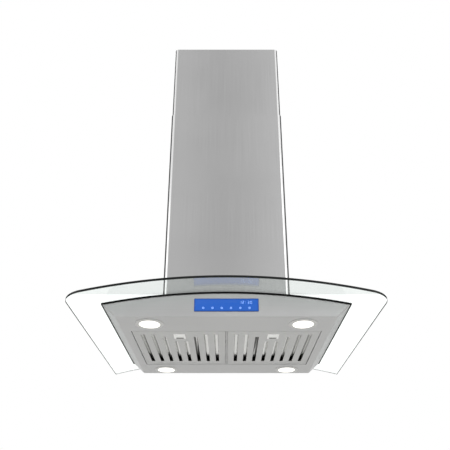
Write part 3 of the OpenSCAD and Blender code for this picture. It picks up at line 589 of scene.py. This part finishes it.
def makeHoodShell():
    shell = hoodForm("hoodShell", 0.0, hood["fold"])
    combine(shell, arch(canopy["body"]), "INTERSECT")
    combine(shell, hoodForm("inside", hood["sheet"], hood["fold"] - hood["sheet"]))
    halfX, halfY = hood["opening"]
    t, bottom = hood["sheet"], hood["low"].z
    lip = addBox("lip", (-halfX - t, -halfY - t, bottom + 0.2 * mm),
                 (halfX + t, halfY + t, bottom + hood["lip"]))
    combine(shell, lip, "UNION")
    combine(shell, addBox("mouth", (-halfX, -halfY, bottom - 0.01), (halfX, halfY, bottom + 0.05)))
    for place in ("front_left", "front_right", "rear_left", "rear_right"):
        lensLow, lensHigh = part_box(place + "_lens")
        middle = (lensLow + lensHigh) / 2
        combine(shell, addRod("hole", (middle.x, middle.y, bottom), hood["lampHole"], 0.02, "Z", 96))
    panelLow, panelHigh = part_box("control_lens")
    combine(shell, addBox("window", (panelLow.x + 2 * mm, hood["low"].y - 0.01, panelLow.z + 2 * mm),
                          (panelHigh.x - 2 * mm, hood["low"].y + 0.01, panelHigh.z - 2 * mm)))
    smooth(shell, 25)
    return finishPiece(shell, finishes["bodySteel"], "hood_shell")


def makeTopPlate():
    low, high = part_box("top_plate")
    piece = hoodForm("topPlate", hood["sheet"], 1 * mm)
    bendToArch(piece, canopy["body"] - hood["sheet"], canopy["body"])
    half = [h - opening["web"] for h in opening["half"]]
    combine(piece, roundedBlock("cutOut", *half, opening["corner"] - opening["web"]))
    smooth(piece)
    return finishPiece(piece, finishes["bodySteel"], "top_plate")


makeGlass()
makeSeals()
makeHoodShell()
makeTopPlate()
refine("centre_bar", finishes["bodySteel"], 0.3 * mm)
print("canopy and body made")


# ---- chimney covers ----

cover = {"sheet": 1 * mm, "bend": 12 * mm, "segments": 10, "rest": 0.8 * mm}


def makeCover(name, node, bend, onGlass):
    low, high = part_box(node)
    bottom = canopy["high"].z - 0.05 if onGlass else low.z
    piece = addBox(name, (low.x, low.y, bottom), (high.x, high.y, high.z))
    editEdges(piece, upright)
    bevelPicked(piece, bend, cover["segments"])
    t = cover["sheet"]
    room = addBox("room", (low.x + t, low.y + t, bottom - 0.01), (high.x - t, high.y - t, high.z + 0.01))
    editEdges(room, upright)
    bevelPicked(room, bend - t, cover["segments"])
    combine(piece, room)
    if onGlass:
        combine(piece, arch(canopy["radius"] + cover["rest"]))
    smooth(piece, 30)
    return finishPiece(piece, finishes["chimneySteel"], node)


makeCover("lowerChimney", "lower_chimney", cover["bend"], True)
makeCover("upperChimney", "upper_chimney", cover["bend"] - cover["sheet"] - cover["rest"], False)
for node in ("ceiling_plate", "upper_frame", "lower_frame", "motor_box", "outlet_collar"):
    refine(node, finishes["zincSheet"])
for node in ("frame_bolts", "chimney_screws", "foot_bolts", "height_bolts", "clamp_screws", "damper_pin"):
    refine(node, finishes["zincPlate"])
print("chimney and frames made")


# ---- the rest of the frame ----

plain = {
    "display_module": "board", "control_housing": "blackPlastic", "led_driver": "whitePlastic",
    "wiring_harness": "wire", "scroll_left": "scrollPlastic", "scroll_right": "scrollPlastic",
    "inlet_left": "scrollPlastic", "inlet_right": "scrollPlastic", "motor": "motorEnamel",
    "capacitor": "whitePlastic", "power_box": "blackPlastic", "cable_gland": "blackPlastic",
    "impeller": "scrollPlastic", "motor_shaft": "shaftSteel",
    "damper_flap_left": "aluminium", "damper_flap_right": "aluminium",
    "charcoal_left_media": "charcoal", "charcoal_right_media": "charcoal",
    "charcoal_left_case": "charcoalCase", "charcoal_right_case": "charcoalCase",
    "filter_left_spring": "zincPlate", "filter_right_spring": "zincPlate",
    "filter_left_latch": "bezelSteel", "filter_right_latch": "bezelSteel",
    "filter_left_face": "baffleSteel", "filter_right_face": "baffleSteel",
    "filter_left_inner": "channelSteelPaintedLit", "filter_right_inner": "channelSteelPaintedLit",
    "control_lens": "blackPlastic",
}
for place in ("front_left", "front_right", "rear_left", "rear_right"):
    plain[place + "_bezel"] = "bezelSteel"
    plain[place + "_lens"] = "lampLens"
    plain[place + "_lamp"] = "aluminium"
panelLow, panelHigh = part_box("control_lens")
panelMiddle = (panelLow + panelHigh) / 2
panelHalf = ((panelHigh.x - panelLow.x) / 2, (panelHigh.z - panelLow.z) / 2)
finishes["panel"] = litGlass("backLitGlass", panelMiddle, panelHalf)
plain["control_lens"] = "panel"
made = {node: refine(node, finishes[finish]) for node, finish in plain.items()}

catch = {"width": 30 * mm, "length": 37 * mm, "ahead": 20.5 * mm, "proud": 0.4 * mm, "corner": 2 * mm,
         "fingerWidth": 20 * mm, "fingerLength": 8.5 * mm, "fingerBack": 2 * mm}


def addCatchPlate(face):
    # a plate pressed proud round the finger slot, its brightness partly painted highlight in its colour
    low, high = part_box(face)
    middleX, startY = (low.x + high.x) / 2, low.y + catch["ahead"]
    halfX, backY = catch["width"] / 2, startY + catch["length"]
    sole = low.z
    plate = addBox("catchPlate", (middleX - halfX, startY, sole - catch["proud"]),
                   (middleX + halfX, backY, sole + 0.2 * mm))
    editEdges(plate, upright)
    bevelPicked(plate, catch["corner"], 4)
    fingerEnd = backY - catch["fingerBack"]
    halfFinger = catch["fingerWidth"] / 2
    slot = addBox("fingerSlot", (middleX - halfFinger, fingerEnd - catch["fingerLength"], sole - 0.01),
                  (middleX + halfFinger, fingerEnd, sole + 0.01))
    combine(plate, slot)
    roundEdges(plate, 0.15 * mm, 2, 40)
    smooth(plate)
    # the plate's near-white colour is a painted highlight on top of its polish
    plate.data.materials.append(finishes["latchSteel"])
    name = made[face].name
    made[face] = joinUp(name, [made[face], plate])


for face in ("filter_left_face", "filter_right_face"):
    addCatchPlate(face)

# each spring gets a mesh of its own (a catch presses its spring towards the back as it slides)
for side in ("left", "right"):
    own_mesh(made["filter_" + side + "_spring"])

# seven-segment strokes as (along x, along z, upright) in stroke lengths, in the usual order a to g
strokes = [(0, 2, False), (0, 1, True), (0, 0, True), (0, 0, False),
           (-1, 0, True), (-1, 1, True), (0, 1, False)]
shapes = {"0": "abcdef", "1": "bc", "2": "abged", "3": "abgcd"}
screen = {"stroke": 3.4 * mm, "thick": 0.7 * mm, "step": 6.4 * mm, "clock": "12:30", "icons": 6,
          "proud": 0.25 * mm, "sunk": 0.1 * mm, "margin": 12 * mm, "clockUp": 3 * mm, "iconsDown": 8 * mm,
          "ring": 2.6 * mm, "hollow": 1.9 * mm}


def addMark(x, z, width, height):
    front = panelLow.y
    return addBox("mark", (x - width / 2, front - screen["proud"], z - height / 2),
                  (x + width / 2, front + screen["sunk"], z + height / 2))


def makeSymbols():
    # a clock at the upper right and a row of round key marks along the foot of the panel
    marks = []
    x = panelHigh.x - screen["margin"] - len(screen["clock"]) * screen["step"]
    foot = panelMiddle.z + screen["clockUp"]
    size, thick = screen["stroke"], screen["thick"]
    for letter in screen["clock"]:
        for place in shapes.get(letter, ""):
            along, up, tall = strokes["abcdefg".index(place)]
            shift = 0.5 if tall else 0
            centre = (x + (along + shift) * size, foot + (up + shift) * size)
            marks.append(addMark(*centre, *((thick, size - thick) if tall else (size - thick, thick))))
        if letter == ":":
            marks += [addMark(x, foot + size * h, thick, thick) for h in (0.5, 1.5)]
        x += screen["step"]
    pitch = (panelHigh.x - panelLow.x) / (screen["icons"] + 1)
    for i in range(screen["icons"]):
        centre = (panelLow.x + pitch * (i + 1), panelLow.y, panelMiddle.z - screen["iconsDown"])
        ring = addRod("ring", centre, screen["ring"], 2 * screen["proud"], "Y", 32)
        combine(ring, addRod("hollow", centre, screen["hollow"], 4 * screen["proud"], "Y", 32))
        marks += [ring, addMark(centre[0], centre[2], 0.7 * mm, 2.2 * mm)]
    symbols = joinUp("symbols", marks)
    symbols.data.materials.clear()
    symbols.data.materials.append(finishes["iconLight"])
    name = made["control_lens"].name
    made["control_lens"] = joinUp(name, [made["control_lens"], symbols])


makeSymbols()
print("inner pieces made")
